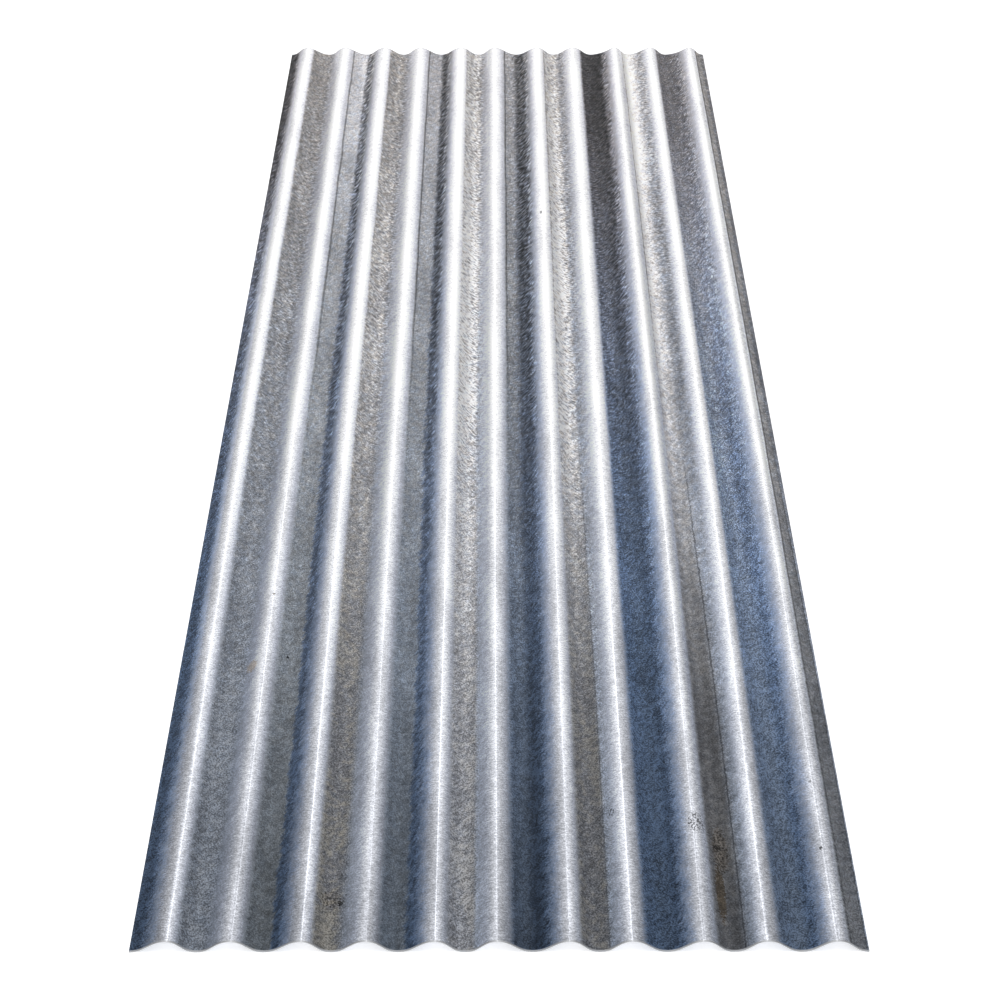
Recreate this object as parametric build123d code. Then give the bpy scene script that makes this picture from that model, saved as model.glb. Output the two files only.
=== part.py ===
from build123d import *
from math import atan, cos, degrees, sin
import os

# A galvanised corrugated roofing sheet, lying flat with its crests up.
# X runs across the waves, Y along the sheet, and Z = 0 is the plane that the valleys rest on.

# Driving dimensions, in millimetres
corrugations = 11  # whole waves, so that both side edges end down in a valley
pitch = 63.5  # from one crest to the next
depth = 12.7  # from the underside of a valley to the top of a crest
thickness = 0.85  # steel with its zinc coat
flank_straight = 8.0  # flat run between the bend of a crest and the bend of a valley
sheet_length = 2438.4

# The bends of crests and valleys share one radius in the middle of the metal, and the flanks
# are tangent to both, so the straight run and the rise fix the slope and the radius.
rise = depth - thickness
half_pitch = pitch / 2
flank_slope = 2 * atan(rise / (half_pitch + flank_straight))
bend_radius = (half_pitch - flank_straight * cos(flank_slope)) / (2 * sin(flank_slope))
bend_arc = degrees(flank_slope)


def half_wave_line(lift):
    """One surface of the sheet from a crest's top to a valley's bottom, at `lift` off mid-metal."""
    middle = thickness / 2
    crest_centre = (0, middle + rise - bend_radius)
    valley_centre = (half_pitch, middle + bend_radius)
    crest = CenterArc(crest_centre, bend_radius + lift, 90, -bend_arc)
    valley = CenterArc(valley_centre, bend_radius - lift, 270 - bend_arc, bend_arc)
    flank = Line(crest @ 1, valley @ 0)
    return Wire([crest, flank, valley])


def wave_section():
    """The metal of one whole wave, from valley to valley, centred on its crest."""
    top = half_wave_line(thickness / 2)
    underside = half_wave_line(-thickness / 2)
    crest_cut = Line(underside @ 0, top @ 0)
    valley_cut = Line(underside @ 1, top @ 1)
    half = make_face([*top.edges(), *underside.edges(), crest_cut, valley_cut])
    return half + mirror(half, Plane.YZ)


def corrugated_sheet():
    wave = wave_section()
    section = Sketch() + [place * wave for place in GridLocations(pitch, 0, corrugations, 1)]
    return extrude(Plane.XZ * section, sheet_length / 2, both=True)


os.makedirs("parts", exist_ok=True)
export_step(corrugated_sheet(), "parts/corrugated_sheet.step")
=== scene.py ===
import math

import bpy
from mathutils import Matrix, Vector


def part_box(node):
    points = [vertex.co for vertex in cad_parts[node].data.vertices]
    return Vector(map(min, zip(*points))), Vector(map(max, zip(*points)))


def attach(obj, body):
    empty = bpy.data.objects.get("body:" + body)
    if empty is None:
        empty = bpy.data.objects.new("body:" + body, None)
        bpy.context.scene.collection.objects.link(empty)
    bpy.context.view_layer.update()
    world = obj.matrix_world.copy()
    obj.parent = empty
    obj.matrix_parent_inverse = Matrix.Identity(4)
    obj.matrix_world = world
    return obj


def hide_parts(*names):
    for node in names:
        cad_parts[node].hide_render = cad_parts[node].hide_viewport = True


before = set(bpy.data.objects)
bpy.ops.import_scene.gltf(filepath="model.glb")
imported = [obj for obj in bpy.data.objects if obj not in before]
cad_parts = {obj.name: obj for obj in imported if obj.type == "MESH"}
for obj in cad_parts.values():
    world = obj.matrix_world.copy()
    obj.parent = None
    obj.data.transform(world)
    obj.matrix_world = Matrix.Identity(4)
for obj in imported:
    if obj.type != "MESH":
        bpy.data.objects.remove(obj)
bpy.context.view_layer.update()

# Sizes in metres. The outline comes from the sheet's box, the rest is the rolled section.
SHEET = "corrugated_sheet"
low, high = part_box(SHEET)
WIDTH = high[0] - low[0]
LENGTH = high[1] - low[1]
DEPTH = high[2] - low[2]
WAVES = 11
PITCH = WIDTH / WAVES
THICKNESS = 0.00085
FLANK_STRAIGHT = 0.008
RISE = DEPTH - THICKNESS
FLANK_SLOPE = 2 * math.atan(RISE / (PITCH / 2 + FLANK_STRAIGHT))
BEND_RADIUS = (PITCH / 2 - FLANK_STRAIGHT * math.cos(FLANK_SLOPE)) / (2 * math.sin(FLANK_SLOPE))
MM_PER_METRE = 1000

# How far each crest's top stands to the right of its middle, in millimetres, from the left crest to the
# right one: half a metre before the near end, and from about the middle to the far end
NEAR_LEANS = (5.0, 1.5, 4.5, 2.5, 3.0, -1.0, 3.0, -1.5, 1.0, -2.0, 0.5)
FAR_LEANS = (-5.0, -5.0, -1.5, -4.0, 1.5, -4.5, 4.0, 1.0, 10.0, 6.5, 10.0)
LEAN_SPAN = 24.0  # leans of up to half of this, to either side, fit the ramp that holds them
LEAN_RUN = (-0.2, 0.45)  # from where to where the one turns into the other, as shares of the length

# How finely the rolled surface is divided
COLUMNS_PER_WAVE = 32
ROWS = 110

# Kinds of tarnish in the valleys, which differ from the left to the right strip of each. In each row:
# shades, at the near end, at the far end, and how much of them the right strip keeps, where the change
# from the near end to the far end is partly a painted reflection, darker where the sheet faces higher sky;
# marks, how blue, which is partly a painted reflection of blue sky, how deep a crease beside the crest,
# which sets a painted shade line there, how brown;
# strips, where the right one starts and how soft its edge is, as shares of the way from crest to crest,
# and how bright the last stretch is at the far end, where a half is as bright as the rest;
# grain, how streaky the left strip is, how streaky the right one, and how speckled both are.
HEADINGS = ("shades", "marks", "strips", "grain")
TARNISH = {
    "slate": ((0.30, 0.32, 0.75), (0.9, 0.0, 0.0), (0.45, 0.10, 0.16), (0.5, 0.7, 0.9)),
    "navy": ((0.23, 0.21, 0.44), (1.0, 0.0, 0.0), (0.55, 0.10, 0.20), (0.7, 0.8, 0.9)),
    "steel": ((0.31, 0.52, 0.75), (0.65, 0.0, 0.0), (0.55, 0.10, 0.25), (0.3, 0.3, 0.9)),
    "deep": ((0.17, 0.52, 0.22), (0.65, 1.0, 0.0), (0.44, 0.09, 0.50), (0.2, 1.0, 0.7)),
    "striped": ((0.29, 0.62, 0.31), (0.0, 0.8, 0.0), (0.53, 0.03, 0.60), (0.1, 1.0, 0.5)),
    "banded": ((0.29, 0.61, 0.19), (0.2, 0.9, 0.0), (0.53, 0.04, 0.50), (0.1, 1.0, 0.5)),
    "dull": ((0.36, 0.37, 1.00), (0.4, 0.0, 0.1), (0.56, 0.12, 0.52), (0.5, 0.3, 1.0)),
    "olive": ((0.34, 0.58, 0.75), (0.0, 0.1, 0.8), (0.57, 0.10, 0.40), (0.6, 0.3, 1.0)),
    "bright": ((0.52, 0.95, 0.60), (0.0, 0.1, 0.3), (0.58, 0.05, 0.38), (0.9, 0.3, 1.0)),
    "pale": ((0.32, 0.97, 0.50), (0.0, 0.6, 0.6), (0.59, 0.05, 0.43), (0.8, 0.3, 1.0)),
    "white": ((0.24, 1.00, 0.38), (0.0, 0.9, 0.2), (0.61, 0.09, 0.72), (0.3, 0.3, 0.7)),
    "rusty": ((0.26, 0.42, 0.60), (0.2, 1.0, 0.1), (0.41, 0.03, 0.50), (0.3, 0.3, 0.9)),
}
# The kind in each valley, from the left edge to the right one
VALLEYS = (
    "slate", "dull", "striped", "olive", "banded", "bright",
    "deep", "pale", "navy", "white", "steel", "rusty",
)

# Grain of the coat: a fleck's width and length, its turn off the sheet's line in degrees, and its fineness
FLECKS = {
    "speck": (0.0016, 0.0023, 20, 1.0),
    "pit": (0.0024, 0.0034, -10, 0.0),
    "rising": (0.0020, 0.013, -28, 0.5),
    "falling": (0.0021, 0.009, 36, 0.5),
    "spangle": (0.008, 0.010, -25, 2.0),
    "striae": (0.0055, 0.0022, 0, 1.0),
    "ragged": (0.018, 0.024, 10, 3.0),
    "cloud": (0.03, 0.16, 4, 2.0),
    "hue": (0.011, 0.017, 30, 1.0),
    "dot": (0.0022, 0.0034, 0, 0.0),
}
# Crystals of the coat: width, length and turn
FLAKE = (0.007, 0.016, -12)
CHIP = (0.0026, 0.007, -20)

# Small marks: place from the sheet's middle, half width and half length, all in millimetres,
# then how dark and how brown. The dotted ones are sprays of dots.
SPOTS = (
    (64, 515, 2.2, 6.0, 0.65, 0.0),
    (-255.5, -583, 1.6, 2.6, 0.7, 0.3),
    (-232.5, -703, 1.8, 3.4, 0.85, 0.0),
    (-270, -729, 6.0, 12.0, 0.1, 0.5),
    (215.5, -1056, 4.0, 4.5, 0.7, 0.0),
    (215, -1130, 5.0, 48.0, 0.4, 0.8),
    (317.5, -1071, 2.0, 3.0, 0.85, 0.0),
    (318, -956, 1.6, 2.4, 0.6, 0.0),
    (-153, -1146, 3.0, 4.0, 0.8, 0.0),
)
SPRAYS = (
    (197, -1027, 8.0, 17.0, 0.75, 0.0),
    (-162, -1140, 10.0, 14.0, 0.6, 0.2),
    (113, -1004, 3.0, 8.0, 0.7, 0.0),
    (219, -1060, 8.0, 40.0, 0.6, 0.4),
)

# Where the eye stands: a standing person's height, on the sheet's centre line
EYE_HEIGHT = 1.6597
EYE_TO_NEAR_END = 2.1118
EYE_ASIDE = -0.0023
LOOK_DOWN = math.radians(29.030)
LOOK_ASIDE = math.radians(-0.083)
FOCAL_LENGTH_MM = 101.263
SENSOR_MM = 36.0

# The floor: how pale it is, and how much it is lifted to white where it is looked at
FLOOR_GREY = 0.9
FLOOR_LIFT = 0.6
FLOOR_REACH = 60.0

# The light: how bright it is all round, and in a broad strip overhead with a narrow core
ALL_ROUND = 0.2
STRIP = 0.95
STRIP_SPREAD = 0.44
CORE = 0.8
CORE_SPREAD = 0.025


class Flow:
    """A socket that takes part in Python sums. Each sum adds the node that works it out."""

    def __init__(self, tree, socket=None):
        self.tree = tree
        self.socket = socket

    def node(self, kind, settings=None, sockets=None, output=0):
        """Adds a node of any kind: its settings first, then the values or links of its sockets."""
        made = self.tree.nodes.new(kind)
        for name, value in (settings or {}).items():
            if name == "stops":
                fill_ramp(made.color_ramp, value)
            elif name == "steps":
                made.color_ramp.interpolation = value
            else:
                setattr(made, name, value)
        for name, value in (sockets or {}).items():
            if isinstance(value, Flow):
                self.tree.links.new(value.socket, made.inputs[name])
            else:
                made.inputs[name].default_value = value
        return Flow(self.tree, made.outputs[output]) if made.outputs else Flow(self.tree)

    def math(self, operation, *values):
        return self.node("ShaderNodeMath", {"operation": operation}, dict(enumerate(values)))

    def __add__(self, other):
        return self.math("ADD", self, other)

    def __radd__(self, other):
        return self.math("ADD", other, self)

    def __sub__(self, other):
        return self.math("SUBTRACT", self, other)

    def __rsub__(self, other):
        return self.math("SUBTRACT", other, self)

    def __mul__(self, other):
        return self.math("MULTIPLY", self, other)

    def __rmul__(self, other):
        return self.math("MULTIPLY", other, self)

    def __truediv__(self, other):
        return self.math("DIVIDE", self, other)

    def __rtruediv__(self, other):
        return self.math("DIVIDE", other, self)

    def __lt__(self, other):
        return self.math("LESS_THAN", self, other)

    def parts(self):
        """The three numbers of a vector."""
        split = self.node("ShaderNodeSeparateXYZ", sockets={0: self})
        outputs = split.socket.node.outputs
        return [Flow(self.tree, outputs[axis]) for axis in range(3)]


def fill_ramp(ramp, stops):
    """Sets a ramp's stops from (place, colour) pairs."""
    while len(ramp.elements) < len(stops):
        ramp.elements.new(1.0)
    for element, (place, colour) in zip(ramp.elements, stops):
        element.position = place
        element.color = (*colour, 1.0)


# Sums that the shape and the finish share

def smooth(value, start, end):
    """Rises from 0 at `start` to 1 at `end`; falls where `end` is the lower."""
    rises = start < end
    span = {"From Min": min(start, end), "From Max": max(start, end)}
    ends = {"To Min": 0.0 if rises else 1.0, "To Max": 1.0 if rises else 0.0}
    settings = {"interpolation_type": "SMOOTHSTEP"}
    return value.node("ShaderNodeMapRange", settings, {"Value": value, **span, **ends})


def between(first, second, amount):
    """A number part of the way from one to another."""
    settings = {"data_type": "FLOAT", "clamp_factor": False}
    return amount.node("ShaderNodeMix", settings, {0: amount, 2: first, 3: second})


def picked(number, rows):
    """Three numbers: those of one of some rows, by the row's number."""
    stops = [(place / len(rows), row) for place, row in enumerate(rows)]
    settings = {"stops": stops, "steps": "CONSTANT"}
    return number.node("ShaderNodeValToRGB", settings, {"Fac": (number + 0.5) / len(rows)}).parts()


def upright(x, y, pitch):
    """A place across the sheet as it would be with no lean: crests move, valleys stay."""
    count = x / pitch + WAVES / 2
    leans = zip(NEAR_LEANS, FAR_LEANS)
    rows = [(0.5 + near / LEAN_SPAN, 0.5 + far / LEAN_SPAN, 0.0) for near, far in leans]
    near_lean, far_lean = picked(count.math("FLOOR", count), rows)[:2]
    lean = between(near_lean, far_lean, smooth(y / LENGTH + 0.5, *LEAN_RUN)) - 0.5
    turn = x / pitch * math.tau
    return x - lean * (LEAN_SPAN / MM_PER_METRE) * (0.5 + 0.5 * turn.math("COSINE", turn))


# The sheet: a flat plate that is rolled into waves

def rolling_tree(zinc):
    """Geometry nodes that bend a flat plate into round waves along its length."""
    tree = bpy.data.node_groups.new("rolled waves", "GeometryNodeTree")
    face = tree.interface
    sizes = ("Width", "Length", "Thickness", "Pitch", "Rise", "Bend radius", "Flank slope")
    for name in sizes:
        face.new_socket(name, in_out="INPUT", socket_type="NodeSocketFloat")
    for name in ("Columns", "Rows"):
        face.new_socket(name, in_out="INPUT", socket_type="NodeSocketInt")
    face.new_socket("Sheet", in_out="OUTPUT", socket_type="NodeSocketGeometry")

    flow = Flow(tree)
    inputs = flow.node("NodeGroupInput").socket.node.outputs
    given = {socket.name: Flow(tree, socket) for socket in inputs if socket.name}
    plate_size = flow.node(
        "ShaderNodeCombineXYZ",
        sockets={0: given["Width"], 1: given["Length"], 2: given["Thickness"]},
    )
    plate = flow.node(
        "GeometryNodeMeshCube",
        sockets={
            "Size": plate_size,
            "Vertices X": given["Columns"] + 1,
            "Vertices Y": given["Rows"] + 1,
            "Vertices Z": 2,
        },
    )

    x, y, off_middle = flow.node("GeometryNodeInputPosition").parts()
    half = given["Pitch"] / 2
    radius, slope = given["Bend radius"], given["Flank slope"]
    straight_x = upright(x, y, given["Pitch"])
    from_crest = x.math("WRAP", straight_x, half, 0 - half)
    away = from_crest.math("ABSOLUTE", from_crest)
    from_bend = away.math("MINIMUM", away, half - away)
    lean_sine = from_bend.math("MINIMUM", from_bend / radius, slope.math("SINE", slope))
    lean_cosine = lean_sine.math("SQRT", 1 - lean_sine * lean_sine)
    drop = radius * (1 - lean_cosine) + (from_bend - radius * lean_sine) * lean_sine / lean_cosine
    on_crest = away < half / 2
    height = given["Thickness"] / 2 + drop + on_crest * (given["Rise"] - 2 * drop)
    sideways = lean_sine * from_crest.math("SIGN", from_crest)
    rolled_place = flow.node(
        "ShaderNodeCombineXYZ",
        sockets={0: x + sideways * off_middle, 1: y, 2: height + lean_cosine * off_middle},
    )
    rolled = flow.node("GeometryNodeSetPosition", sockets={"Geometry": plate, "Position": rolled_place})

    soft = flow.node("GeometryNodeSetShadeSmooth", sockets={"Geometry": rolled})
    edge_angle = flow.node("GeometryNodeInputMeshEdgeAngle")
    cut_edge = edge_angle.math("GREATER_THAN", edge_angle, math.radians(45))
    crisp = flow.node(
        "GeometryNodeSetShadeSmooth",
        {"domain": "EDGE"},
        {"Geometry": soft, "Selection": cut_edge, "Shade Smooth": False},
    )
    real = flow.node("GeometryNodeRealizeInstances", sockets={"Geometry": crisp})
    coated = flow.node("GeometryNodeSetMaterial", sockets={"Geometry": real, "Material": zinc})
    flow.node("NodeGroupOutput", sockets={"Sheet": coated})
    return tree


def rolled_sheet(zinc):
    """The visible sheet, as a plain mesh in the place of the solid one."""
    tree = rolling_tree(zinc)
    sizes = {
        "Width": WIDTH,
        "Length": LENGTH,
        "Thickness": THICKNESS,
        "Pitch": PITCH,
        "Rise": RISE,
        "Bend radius": BEND_RADIUS,
        "Flank slope": FLANK_SLOPE,
        "Columns": WAVES * COLUMNS_PER_WAVE,
        "Rows": ROWS,
    }
    maker = bpy.data.objects.new("sheet_maker", bpy.data.meshes.new("flat plate"))
    bpy.context.collection.objects.link(maker)
    roller = maker.modifiers.new("rolled waves", "NODES")
    roller.node_group = tree
    for item in tree.interface.items_tree:
        if item.in_out == "INPUT":
            roller[item.identifier] = sizes[item.name]
    ready = maker.evaluated_get(bpy.context.evaluated_depsgraph_get())
    mesh = bpy.data.meshes.new_from_object(ready)
    maker.modifiers.remove(roller)
    bpy.data.objects.remove(maker)
    sheet = bpy.data.objects.new("rolled_zinc_sheet", mesh)
    bpy.context.collection.objects.link(sheet)
    return sheet


# The finish: galvanised zinc

def shader_tree(name):
    """A new material with an empty node tree, and the flow that fills it."""
    material = bpy.data.materials.new(name)
    material.use_nodes = True
    material.node_tree.nodes.clear()
    return material, Flow(material.node_tree)


def blend(first, second, amount):
    """A colour part of the way from one to another."""
    colours = {0: amount, 6: first, 7: second}
    colours = {socket: (*c, 1.0) if isinstance(c, tuple) else c for socket, c in colours.items()}
    return amount.node("ShaderNodeMix", {"data_type": "RGBA"}, colours, output=2)


def laid_out(place, width, length, turn):
    """Coordinates that count flakes of a size, turned a little off the sheet's line."""
    return place.node(
        "ShaderNodeMapping",
        {"vector_type": "TEXTURE"},
        {"Vector": place, "Rotation": (0, 0, math.radians(turn)), "Scale": (width, length, 1.0)},
    )


def flecks(place, width, length, turn, detail):
    """Soft flecks of a size, from about -0.3 to 0.3."""
    laid = laid_out(place, width, length, turn)
    sockets = {"Vector": laid, "Scale": 1.0, "Detail": detail}
    return laid.node("ShaderNodeTexNoise", {"noise_dimensions": "2D"}, sockets) - 0.5


def crystals(place, width, length, turn):
    """Angular crystals of a size, as three numbers for each, from -0.5 to 0.5."""
    laid = laid_out(place, width, length, turn)
    sockets = {"Vector": laid, "Scale": 1.0}
    cells = laid.node("ShaderNodeTexVoronoi", {"voronoi_dimensions": "2D"}, sockets, output="Color")
    return [part - 0.5 for part in cells.parts()]


def by_valley(valley, heading):
    """Three numbers of the tarnish of the valley that a place is in."""
    return picked(valley, [TARNISH[kind][HEADINGS.index(heading)] for kind in VALLEYS])


def marked(place, marks, ragged):
    """How dark and how brown the small marks make a place."""
    x, y = place.parts()[:2]
    dark, brown = 0.0, 0.0
    for mark_x, mark_y, half_width, half_length, darkness, rust in marks:
        sideways = x.math("MULTIPLY_ADD", x, MM_PER_METRE / half_width, -mark_x / half_width)
        lengthways = y.math("MULTIPLY_ADD", y, MM_PER_METRE / half_length, -mark_y / half_length)
        spread = ragged.math("MULTIPLY_ADD", sideways, sideways, ragged)
        inside = smooth(spread.math("MULTIPLY_ADD", lengthways, lengthways, spread), 1.2, 0.5)
        dark = inside.math("MAXIMUM", inside * darkness, dark)
        if rust:
            brown = inside.math("MAXIMUM", inside * rust, brown)
    return dark, brown


def zinc_finish():
    """Hot-dip zinc: burnished crests with a painted highlight, valleys tarnished each in its own way with
    painted shade.
    """
    material, flow = shader_tree("galvanised zinc")
    place = flow.node("ShaderNodeTexCoord", output="Object")
    x, y, z = place.parts()
    along = y / LENGTH + 0.5
    far_part = smooth(along, 0.1, 0.5)
    rightwards = smooth(x, 0.05, 0.25)
    cell = upright(x, y, PITCH) / PITCH + (WAVES + 1) / 2
    valley = cell.math("FLOOR", cell)
    odd = valley.math("FLOORED_MODULO", valley, 2)
    near_shade, far_shade, strip_keeps = by_valley(valley, "shades")
    blue, creased, brown = by_valley(valley, "marks")
    strip_start, strip_edge, far_end = by_valley(valley, "strips")
    left_streaks, right_streaks, speckled = by_valley(valley, "grain")

    # Grain of the coat
    fleck = {name: flecks(place, *size) for name, size in FLECKS.items()}
    speck, spangle, striae = fleck["speck"], fleck["spangle"], fleck["striae"]
    rising, falling = fleck["rising"], fleck["falling"]
    ragged, cloud, hue = fleck["ragged"], fleck["cloud"], fleck["hue"]
    pit = smooth(fleck["pit"], 0.20, 0.30)
    dots = smooth(fleck["dot"], 0.0, 0.08)
    flake, dull = crystals(place, *FLAKE)[:2]
    chip, chip_hue = crystals(place, *CHIP)[:2]

    # Millimetres from the valley's middle and from the crests beside it, with ragged edges
    pitch = PITCH * MM_PER_METRE
    half = pitch / 2
    across = (cell - valley - 0.5) * pitch
    from_middle = across.math("ABSOLUTE", across)
    past_crest = half + across + cloud * 3 + striae * between(5.0, 3.0, far_part)
    fray = ragged * between(6.0, 3.0, far_part) + striae * between(8.0, 1.5, far_part)
    before_crest = half - across + cloud * 5 + fray
    strip_place = (strip_start + 0.06 - 0.06 * far_part) * pitch
    even_fray = rising * between(6.0, 12.0, far_part) + ragged * 6
    strip_fray = between(even_fray, (falling * 3 + ragged * 2) * between(0.4, 1.0, far_part), odd)
    past_start = across + half - strip_place + strip_fray

    # Strips: a weathered one down the left of each valley, another down its right
    right_strip = smooth(past_start / (strip_edge * pitch), -1, 1)

    # Burnish and painted highlight: a band painted bright along each crest in place of its highlight, and
    # glossier there;
    # it ends sharply to the right of each crest, and fades out to its left
    even_shoulder = between(13.2, 13.5, far_part) - rightwards * between(2.6, 4.0, far_part)
    odd_shoulder = between(12.0, 10.5, far_part) + rightwards * between(2.8, 6.4, far_part)
    odd_shoulder = odd_shoulder - smooth(x, 0.29, 0.31) * 4.0
    shoulder = between(even_shoulder, odd_shoulder, odd)
    softness = between(3.5, between(1.6, 3.0, blue), far_part)
    right_side = smooth((past_crest - shoulder) / softness, 1, -1)
    even_left = smooth(before_crest, 23, 6)
    left_reach = between(31.0, 18.0, smooth(x, -0.05, 0.25))
    odd_left = smooth((before_crest - 7) / (left_reach - 7), 1, 0) * right_strip
    left_side = between(even_left, odd_left, odd)
    burnish_and_painted_highlight = right_side.math("MAXIMUM", right_side, left_side)
    top = smooth(from_middle, half - 12, half - 3)

    # Shade of the tarnish, with painted shade in it, and of the burnished metal with its painted highlight
    odd_away = smooth(along, 0.12, 0.6)
    away = between(along, odd_away, odd)
    # Painted reflection: the valleys darker towards the near end, where the sheet faces higher and darker
    # sky
    painted_near_shade = between(between(0.6, 0.72, odd), 1.0, smooth(along, -0.1, 0.35))
    last_stretch = between(1, far_end * 2, smooth(along, 0.6, 0.95))
    weathered_and_painted_shade = between(near_shade, far_shade, away) * painted_near_shade * last_stretch
    even_loss = between(0.5, strip_keeps, smooth(along, 0.2, 0.75))
    odd_loss = between(0.9 + creased, strip_keeps, smooth(along, 0.1, 0.5))
    strip_loss = between(even_loss, odd_loss, odd)
    slump = 1 - odd * (1 - strip_keeps) * 0.55 * smooth(across, -9, 3)
    # Painted shade: each valley darker along its middle, the more so the darker its tarnish
    painted_middle_shade = 1 - between(0.5, 0.25, odd) * (1 - weathered_and_painted_shade) * smooth(from_middle, 14, 0)
    # Painted shade: a dark line along the crease beside each crest
    from_crease = half + across + cloud * 2 - shoulder - 1.5
    right_edge = smooth(x, 0.30, 0.31)
    line = smooth(from_crease.math("ABSOLUTE", from_crease) - right_edge * 0.6, 1.5, 0.5)
    creases = smooth(along, 0.35, 0.65)
    painted_crease_shade = creased * line * creases.math("MAXIMUM", creases, right_edge)
    from_seam = past_start.math("ABSOLUTE", past_start)
    seam = creased * odd * smooth(from_seam, 1.0, 0.3) * smooth(along, 0.5, 0.3)
    lines = (1 - 0.7 * painted_crease_shade) * (1 - 0.6 * seam)
    # The tarnish's shade carries the painted shade: near end, valley middles and the crease lines
    tarnish = weathered_and_painted_shade * between(slump, strip_loss, right_strip) * painted_middle_shade * lines
    # Painted highlight: the crest band's colour, brighter towards the far end where the highlights widen,
    # and darker on each crest's right shoulder
    lit = between(between(0.44, 0.60, odd), between(0.95, 1.0, odd), smooth(along, -0.1, 0.6))
    shoulder_shade_depth = between(between(0.26, 0.20, odd), 0.06, rightwards)
    painted_shoulder_shade = shoulder_shade_depth * right_side * smooth(past_crest, 7, 12.5)
    bright = lit * (1 - painted_shoulder_shade)

    # Mottle, as steps of doubling
    streak = between(rising, falling, odd * far_part.math("MAXIMUM", far_part, right_strip))
    left_dashes = left_streaks * between(1.5, 5.0, smooth(along, 0.15, 0.6))
    right_dashes = right_streaks * between(1.5, 10.5, smooth(along, 0.25, 0.85))
    dashes = streak * between(left_dashes, right_dashes, right_strip)
    specks = speck * speckled * between(between(5.2, 3.6, odd), between(6.2, 2.6, odd), far_part)
    blotches = spangle * between(between(1.1, 1.8, odd), 0.9, far_part) + flake * 0.2
    even_chips = between(speckled * 0.95, 1.2, right_strip)
    chips = chip * between(even_chips, between(0.15, 0.7, far_part), odd)
    valley_grain = specks + blotches + chips + dashes - pit * speckled * 0.6
    shoulder_grain = (streak * odd * far_part + chip * 0.3) * (1 - top)
    top_grain = (speck * 1.6 + striae * 1.2 + spangle * 0.8) * between(1.0, 0.5, along)
    crest_grain = top_grain + shoulder_grain
    grain = between(valley_grain, crest_grain, smooth(burnish_and_painted_highlight, 0.05, 0.55)) + cloud
    grain_limit = between(0.7, 2.0, far_part)
    mottle = grain.math("POWER", 2, grain.math("MINIMUM", grain, grain_limit))
    dark_spots, brown_spots = marked(place, SPOTS, speck * 2)
    dark_dots, brown_dots = marked(place, SPRAYS, speck * 2)
    unmarked = (1 - dark_spots) * (1 - dark_dots * dots)
    shade = between(tarnish, bright, burnish_and_painted_highlight) * mottle * unmarked
    # A lighter rim along the cut ends: bare sheared steel, partly a painted highlight where the edge
    # catches the light
    end_distance = LENGTH / 2 - y.math("ABSOLUTE", y)
    cut_edge = smooth(end_distance, 0.0028, 0.0014)
    shade = between(shade.math("MINIMUM", shade, 1.0), 0.5, cut_edge)

    # Tints: red, green and blue, each times the shade; the halo and crest tints are painted highlight
    # colour
    # The blue in the tarnish's tints is partly a painted reflection of blue sky, and fades towards the far
    # end
    tarnish_and_sky_blue = blue * (1 - creased * smooth(along, 0.1, 0.6))
    even_left_tint = blend((0.88, 1.0, 1.14), (0.67, 1.0, 1.60), tarnish_and_sky_blue)
    even_near = blend(even_left_tint, (0.65, 1.0, 1.66), right_strip)
    even_far = blend((1.02, 1.0, 1.05), (1.05, 1.0, 1.08), tarnish_and_sky_blue)
    browned = brown * (1 - 0.6 * far_part) * smooth(cloud + spangle, -0.15, 0.2)
    odd_clean_tint = blend((0.96, 1.0, 1.10), (0.78, 1.0, 1.32), tarnish_and_sky_blue)
    odd_left_tint = blend(odd_clean_tint, (1.04, 1.0, 0.90), browned)
    odd_near = blend(odd_left_tint, (0.87, 1.0, 1.23), right_strip)
    odd_far = blend((1.05, 1.0, 0.99), (1.02, 1.0, 1.05), right_strip)
    near_tint = blend(even_near, odd_near, odd)
    far_tint = blend(even_far, odd_far, odd)
    fade = between(along, smooth(along, 0.15, 0.95), tarnish_and_sky_blue)
    tarnish_tint = blend(near_tint, far_tint, fade)
    painted_halo_tint = blend((0.92, 1.0, 1.19), (1.0, 1.0, 1.10), along)
    painted_crest_tint = blend((0.97, 1.0, 1.09), (1.0, 1.0, 1.02), smooth(along, 0, 0.6))
    painted_highlight_tint = blend(painted_halo_tint, painted_crest_tint, top)
    clean_tint = blend(tarnish_tint, painted_highlight_tint, burnish_and_painted_highlight)
    rust = brown_spots.math("MAXIMUM", brown_spots, brown_dots)
    worn_tint = blend(clean_tint, (1.25, 1.0, 0.72), rust)
    tint = blend(worn_tint, (0.98, 1.0, 1.04), cut_edge)
    stained = (hue * 1.5 + chip_hue * 0.7) * (1 - burnish_and_painted_highlight) * between(0.35, 1.0, far_part)
    hues = blend((0.955, 1.0, 1.06), (1.045, 1.0, 0.94), 0.5 + stained)
    hued = tint.node("ShaderNodeVectorMath", {"operation": "MULTIPLY"}, {0: tint, 1: hues})
    colour = hued.node("ShaderNodeVectorMath", {"operation": "SCALE"}, {0: hued, "Scale": shade})

    # Gloss: dull in the valleys, and sharpest on the crests' tops
    dullness = between(0.62, 0.50, shade)
    sheen = between(0.30, 0.08, top)
    roughness = between(dullness, sheen, burnish_and_painted_highlight) + dull * 0.06 + speck * 0.08

    # Relief, told by height alone, because a bump is worked out three times at each place
    height = z * MM_PER_METRE
    crest_relief = (striae * 0.9 + speck * 0.1) * between(1.0, 0.32, smooth(height, 10.2, 12.6))
    relief = between(speck * 0.7 + spangle * 0.6, crest_relief, smooth(height, 3.5, 9.5))
    bump = flow.node("ShaderNodeBump", sockets={"Strength": 0.3, "Distance": 0.001, "Height": relief})
    shader = flow.node(
        "ShaderNodeBsdfPrincipled",
        sockets={"Base Color": colour, "Metallic": 1.0, "Roughness": roughness, "Normal": bump},
    )
    flow.node("ShaderNodeOutputMaterial", sockets={"Surface": shader})
    return material


# The stage

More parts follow.
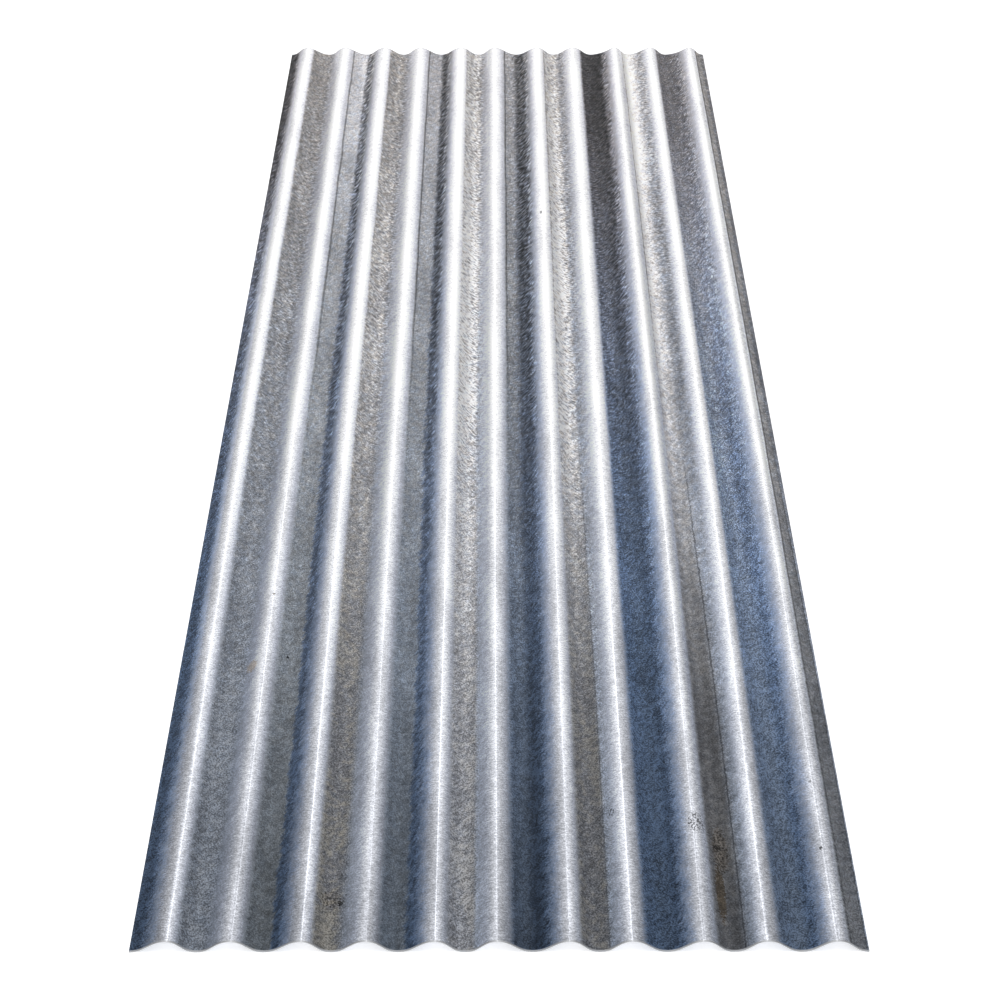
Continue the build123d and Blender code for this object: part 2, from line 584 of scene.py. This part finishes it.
def floor_finish():
    """Pale matt floor, lifted to white where it is looked at, so that only shadow shows on it."""
    material, flow = shader_tree("pale floor")
    matt = flow.node("ShaderNodeBsdfDiffuse", sockets={"Color": (FLOOR_GREY, FLOOR_GREY, FLOOR_GREY, 1.0)})
    rays = flow.node("ShaderNodeLightPath").socket.node.outputs
    seen = Flow(flow.tree, rays["Is Camera Ray"])
    for kind in ("Is Glossy Ray", "Is Transmission Ray"):
        seen = seen.math("MAXIMUM", seen, Flow(flow.tree, rays[kind]))
    lift = flow.node("ShaderNodeEmission", sockets={"Color": (1, 1, 1, 1), "Strength": seen * FLOOR_LIFT})
    both = flow.node("ShaderNodeAddShader", sockets={0: matt, 1: lift})
    flow.node("ShaderNodeOutputMaterial", sockets={"Surface": both})
    return material


def floor():
    reach = FLOOR_REACH
    mesh = bpy.data.meshes.new("floor")
    corners = [(-reach, -reach, 0), (reach, -reach, 0), (reach, reach, 0), (-reach, reach, 0)]
    mesh.from_pydata(corners, [], [(0, 1, 2, 3)])
    mesh.materials.append(floor_finish())
    ground = bpy.data.objects.new("floor", mesh)
    bpy.context.collection.objects.link(ground)


def softbox(name, place, aim, width, height, brightness):
    """A soft rectangular lamp, given by how bright its face looks."""
    lamp = bpy.data.lights.new(name, "AREA")
    lamp.shape = "RECTANGLE"
    lamp.size = width
    lamp.size_y = height
    lamp.energy = brightness * math.pi * width * height
    holder = bpy.data.objects.new(name, lamp)
    holder.location = place
    away = holder.location - type(holder.location)(aim)
    holder.rotation_euler = away.to_track_quat("Z", "Y").to_euler()
    bpy.context.collection.objects.link(holder)


def studio():
    """Soft light all round, brightest in a broad strip overhead along the sheet."""
    world = bpy.data.worlds.new("studio")
    world.use_nodes = True
    world.node_tree.nodes.clear()
    flow = Flow(world.node_tree)
    aside = flow.node("ShaderNodeTexCoord", output="Generated").parts()[0]
    broad = aside / STRIP_SPREAD
    strip = broad.math("POWER", 1 + broad * broad, -1.5)
    narrow = aside / CORE_SPREAD
    core = narrow.math("POWER", 1 + narrow * narrow, -2)
    glow = flow.node(
        "ShaderNodeBackground",
        sockets={"Color": (1, 1, 1, 1), "Strength": ALL_ROUND + STRIP * strip + CORE * core},
    )
    flow.node("ShaderNodeOutputWorld", sockets={"Surface": glow})
    bpy.context.scene.world = world
    softbox("overhead", place=(0, -1.5, 3.6), aim=(0, 0, 0), width=3.0, height=2.4, brightness=1.0)


def camera():
    lens = bpy.data.cameras.new("eye")
    lens.sensor_width = SENSOR_MM
    lens.lens = FOCAL_LENGTH_MM
    eye = bpy.data.objects.new("eye", lens)
    eye.location = (EYE_ASIDE, low[1] - EYE_TO_NEAR_END, EYE_HEIGHT)
    eye.rotation_euler = (math.pi / 2 - LOOK_DOWN, 0, LOOK_ASIDE)
    bpy.context.collection.objects.link(eye)
    bpy.context.scene.camera = eye


sheet = rolled_sheet(zinc_finish())
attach(sheet, "root")
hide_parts(SHEET)
floor()
studio()
camera()
bpy.context.scene.view_settings.view_transform = "Standard"
